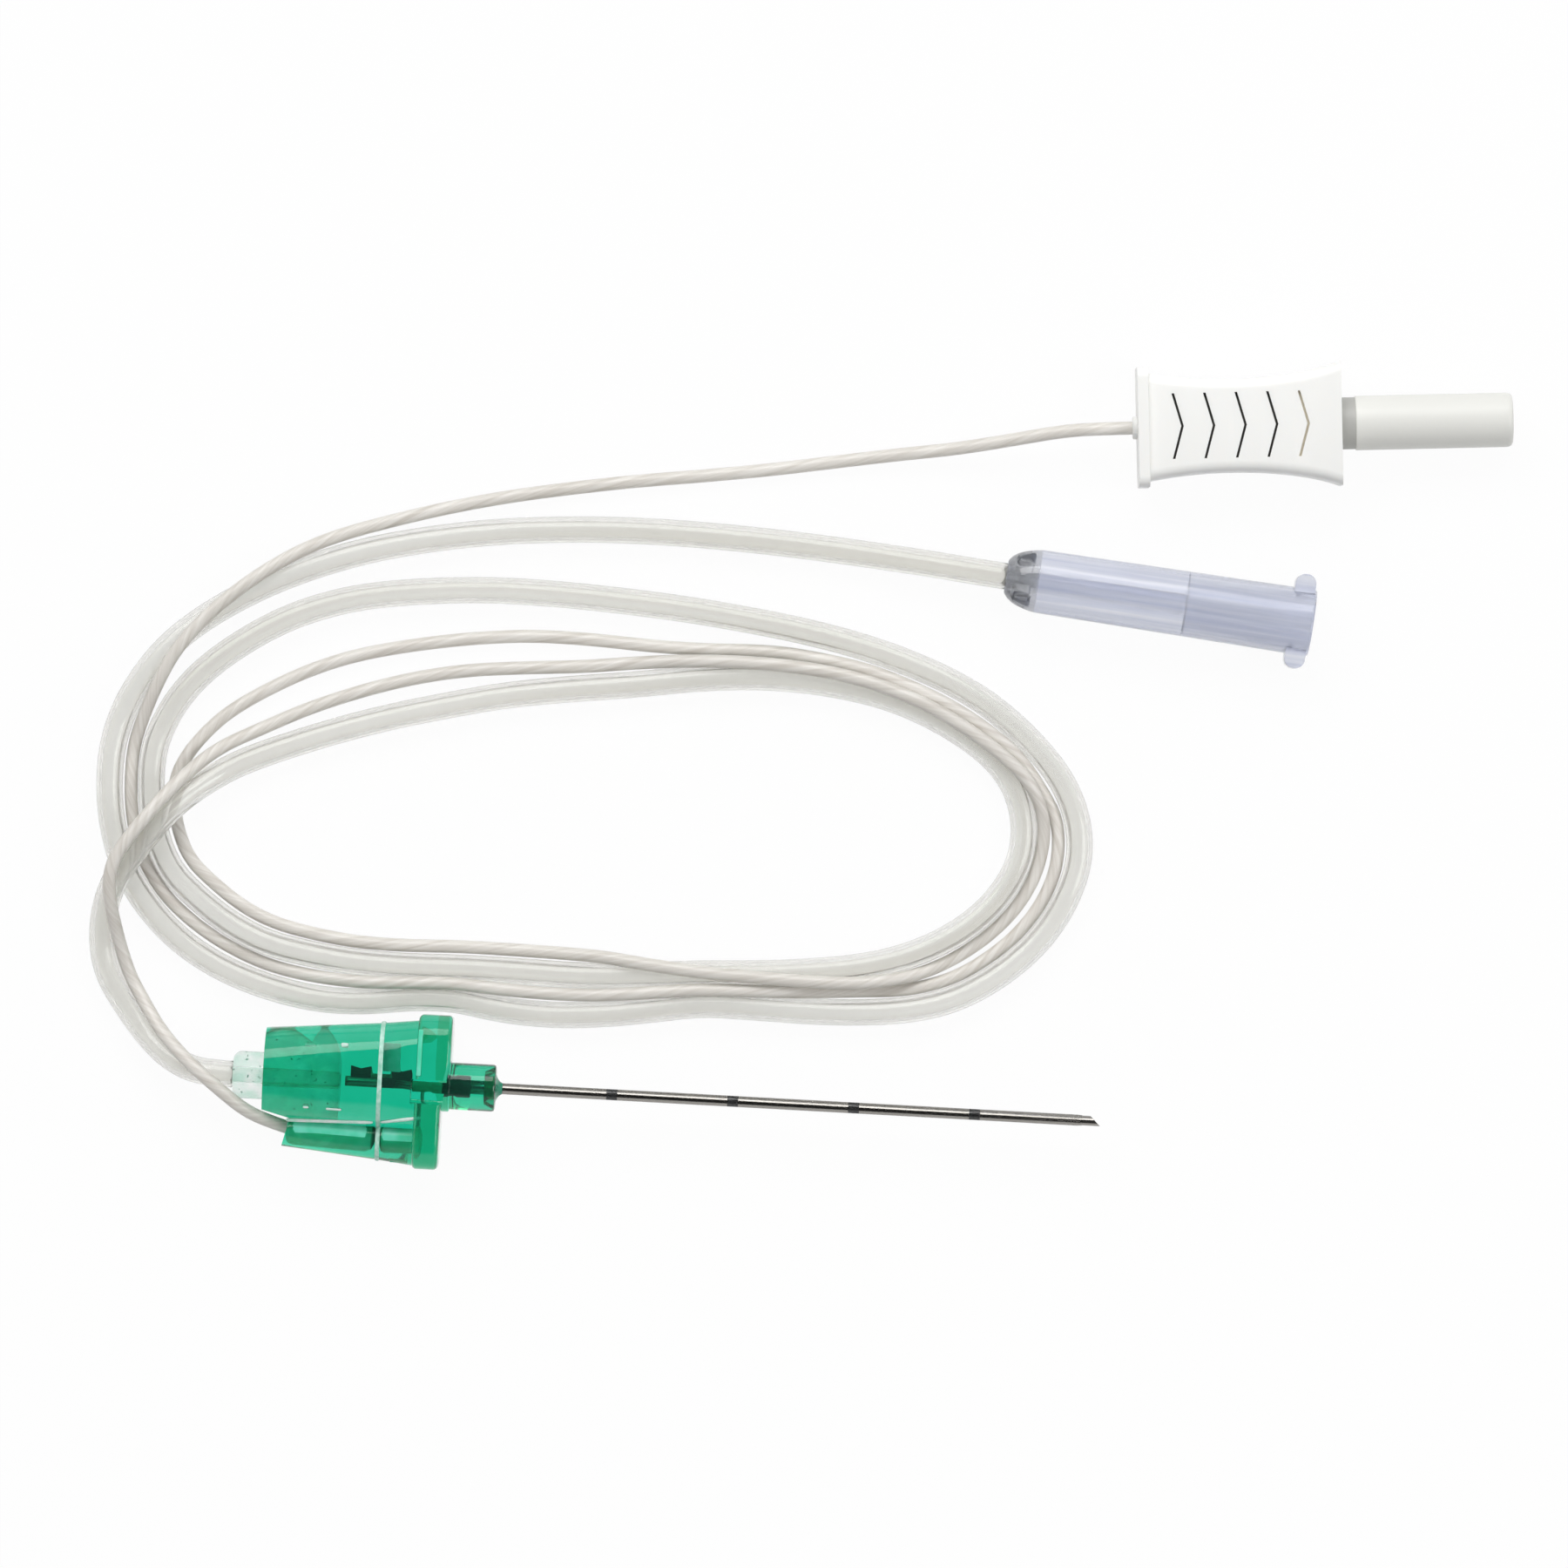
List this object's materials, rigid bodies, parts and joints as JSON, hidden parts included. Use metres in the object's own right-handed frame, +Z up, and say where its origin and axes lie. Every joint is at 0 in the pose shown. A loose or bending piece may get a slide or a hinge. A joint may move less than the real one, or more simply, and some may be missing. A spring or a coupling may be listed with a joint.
{
  "type": "nerve block needle",
  "caption": "Insulated nerve block needle with a green winged hub, an infusion tube with a luer connector and a stimulation lead with a plug.",
  "frame": {"origin": "on the table, at the middle of the hub's flat underside, below the cannula's axis", "axes": "+X along the cannula towards its tip, +Z up, +Y towards the side where the cords lie"},
  "size_m": [0.1155, 0.0707, 0.0077],
  "materials": {
    "steel": "polished",
    "coating": "glossy",
    "mark": "satin",
    "green_plastic": "clear, moulded",
    "pale_green_plastic": "clear, moulded",
    "adhesive": "clear, cured",
    "tube_plastic": "soft, frosted",
    "lead_sheath": "soft",
    "luer_plastic": "clear, moulded",
    "white_plastic": "satin, moulded",
    "copper": "drawn",
    "brass": "plated"
  },
  "bodies": {
    "root": {"cannula": "steel", "insulation_coating": "coating", "depth_marks": "mark", "hub_rear": "green_plastic", "hub_front": "green_plastic", "tube_socket": "pale_green_plastic", "contact_sleeve": "brass", "contact_strip": "steel", "lead_conductor": "copper", "nose_adhesive": "adhesive", "infusion_tube": "tube_plastic", "stimulation_lead": "lead_sheath", "luer_connector": "luer_plastic", "plug_grip": "white_plastic", "plug_sleeve": "white_plastic", "plug_contact": "brass", "plug_conductor": "copper"}
  },
  "joints": []
}
